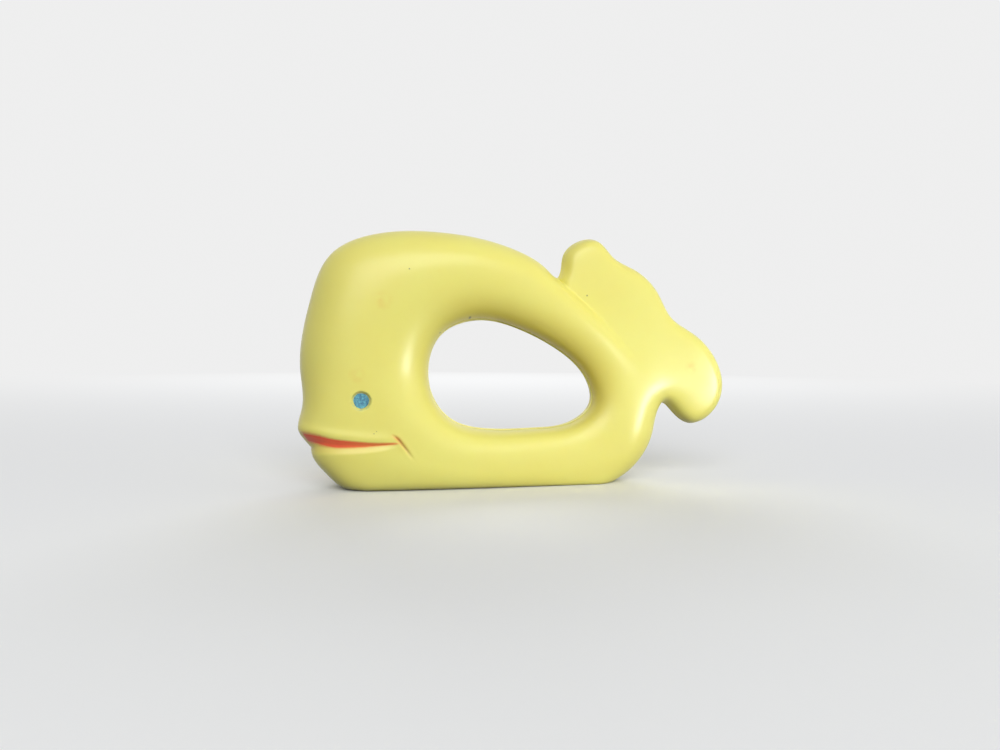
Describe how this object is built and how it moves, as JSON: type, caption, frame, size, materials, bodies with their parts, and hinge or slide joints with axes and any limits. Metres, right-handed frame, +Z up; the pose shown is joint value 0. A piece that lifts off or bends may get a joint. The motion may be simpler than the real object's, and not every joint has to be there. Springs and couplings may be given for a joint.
{
  "type": "whale baby rattle",
  "caption": "Moulded whale-shaped baby rattle: two hollow half shells joined round a finger hole, with a flat base, a two-lobed fluke, painted eyes and mouth and loose pellets inside.",
  "frame": {"origin": "middle of the bounding box in plan, on the surface that the base rests on", "axes": "+X from the whale's snout to its tail, +Y away from the pictured side, +Z up"},
  "size_m": [0.1266, 0.025, 0.0731],
  "materials": {
    "shell_plastic": "glossy pale yellow moulded plastic, lightly aged",
    "eye_paint": "hand-applied blue paint in a recess",
    "mouth_paint": "orange-red sprayed paint in a groove",
    "pellet_plastic": "plain cream beads"
  },
  "bodies": {
    "shell": {"near_half_shell": "shell_plastic", "far_half_shell": "shell_plastic", "near_eye_paint": "eye_paint", "far_eye_paint": "eye_paint", "near_mouth_paint": "mouth_paint", "far_mouth_paint": "mouth_paint"},
    "pellet_1": {"rattle_pellet_1": "pellet_plastic"},
    "pellet_2": {"rattle_pellet_2": "pellet_plastic"},
    "pellet_3": {"rattle_pellet_3": "pellet_plastic"},
    "pellet_4": {"rattle_pellet_4": "pellet_plastic"},
    "pellet_5": {"rattle_pellet_5": "pellet_plastic"},
    "pellet_6": {"rattle_pellet_6": "pellet_plastic"},
    "pellet_7": {"rattle_pellet_7": "pellet_plastic"}
  },
  "joints": [
    {"name": "pellet_1_rise", "type": "slide", "parent": "shell", "child": "pellet_1", "axis": [0, 0, 1], "range_m": [0, 0.058]},
    {"name": "pellet_2_rise", "type": "slide", "parent": "shell", "child": "pellet_2", "axis": [0, 0, 1], "range_m": [0, 0.06]},
    {"name": "pellet_3_rise", "type": "slide", "parent": "shell", "child": "pellet_3", "axis": [0, 0, 1], "range_m": [0, 0.06]},
    {"name": "pellet_4_rise", "type": "slide", "parent": "shell", "child": "pellet_4", "axis": [0, 0, 1], "range_m": [0, 0.061]},
    {"name": "pellet_5_rise", "type": "slide", "parent": "shell", "child": "pellet_5", "axis": [0, 0, 1], "range_m": [0, 0.061]},
    {"name": "pellet_6_run", "type": "slide", "parent": "shell", "child": "pellet_6", "axis": [1, 0, 0], "range_m": [-0.016, 0.019]},
    {"name": "pellet_7_run", "type": "slide", "parent": "shell", "child": "pellet_7", "axis": [1, 0, 0], "range_m": [-0.016, 0.025]}
  ]
}
